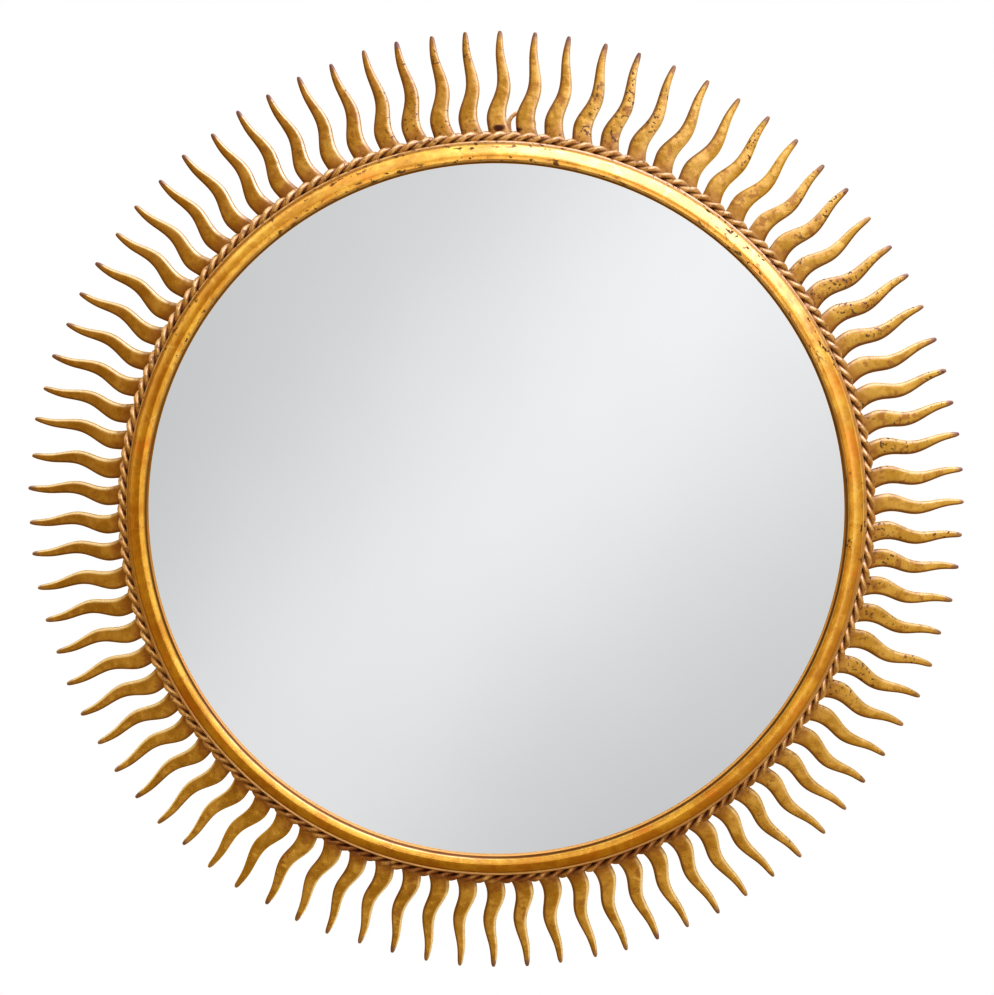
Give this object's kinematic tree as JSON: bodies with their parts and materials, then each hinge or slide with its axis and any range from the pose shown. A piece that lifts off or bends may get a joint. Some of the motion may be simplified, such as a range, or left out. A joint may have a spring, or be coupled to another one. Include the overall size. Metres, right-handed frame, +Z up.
{
  "type": "sunburst wall mirror",
  "caption": "Round wall mirror in a gilded iron frame: moulded ring, twisted rope border and a sunburst of wavy, swept-back flame rays, hung by a wire ring.",
  "frame": {"origin": "on the mirror's axis, in the plane of the wall that the back rim rests on", "axes": "the face looks towards -Y, +Y goes into the wall, +Z is up as hung and +X is to the viewer's right"},
  "size_m": [0.9098, 0.0453, 0.91],
  "materials": {
    "gilt_moulding": "burnished gold leaf over red bole, a little worn",
    "gilt_ray": "worn gold leaf on forged iron, dark at the tips",
    "gilt_rope": "gold leaf on twisted iron wire, dark in the grooves",
    "silvered_glass": "clean silvered float glass",
    "hardboard": "smooth brown hardboard",
    "aged_iron": "aged brown iron with traces of gilding",
    "ring_wire": "gilded iron wire, worn"
  },
  "bodies": {
    "frame": {"front_moulding": "gilt_moulding", "mirror_glass": "silvered_glass", "backing_board": "hardboard", "frame_hoop": "aged_iron", "board_tabs": "aged_iron", "rope_ring": "gilt_rope", "hanger_staple": "aged_iron", "ray_pair_01": "gilt_ray", "ray_pair_02": "gilt_ray", "ray_pair_03": "gilt_ray", "ray_pair_04": "gilt_ray", "ray_pair_05": "gilt_ray", "ray_pair_06": "gilt_ray", "ray_pair_07": "gilt_ray", "ray_pair_08": "gilt_ray", "ray_pair_09": "gilt_ray", "ray_pair_10": "gilt_ray", "ray_pair_11": "gilt_ray", "ray_pair_12": "gilt_ray", "ray_pair_13": "gilt_ray", "ray_pair_14": "gilt_ray", "ray_pair_15": "gilt_ray", "ray_pair_16": "gilt_ray", "ray_pair_17": "gilt_ray", "ray_pair_18": "gilt_ray", "ray_pair_19": "gilt_ray", "ray_pair_20": "gilt_ray", "ray_pair_21": "gilt_ray", "ray_pair_22": "gilt_ray", "ray_pair_23": "gilt_ray", "ray_pair_24": "gilt_ray", "ray_pair_25": "gilt_ray", "ray_pair_26": "gilt_ray", "ray_pair_27": "gilt_ray", "ray_pair_28": "gilt_ray", "ray_pair_29": "gilt_ray", "ray_pair_30": "gilt_ray", "ray_pair_31": "gilt_ray", "ray_pair_32": "gilt_ray", "ray_pair_33": "gilt_ray", "ray_pair_34": "gilt_ray", "ray_pair_35": "gilt_ray", "ray_pair_36": "gilt_ray", "ray_pair_37": "gilt_ray", "ray_pair_38": "gilt_ray", "ray_pair_39": "gilt_ray", "ray_pair_40": "gilt_ray", "ray_pair_41": "gilt_ray", "ray_pair_42": "gilt_ray", "ray_pair_43": "gilt_ray"},
    "ring": {"hanging_ring": "ring_wire"}
  },
  "joints": [
    {"name": "ring_swing", "type": "hinge", "parent": "frame", "child": "ring", "pos_m": [0.02295, -0.005, 0.35496], "axis": [-0.9979, 0, 0.0645], "range_deg": [-15, 115]}
  ]
}
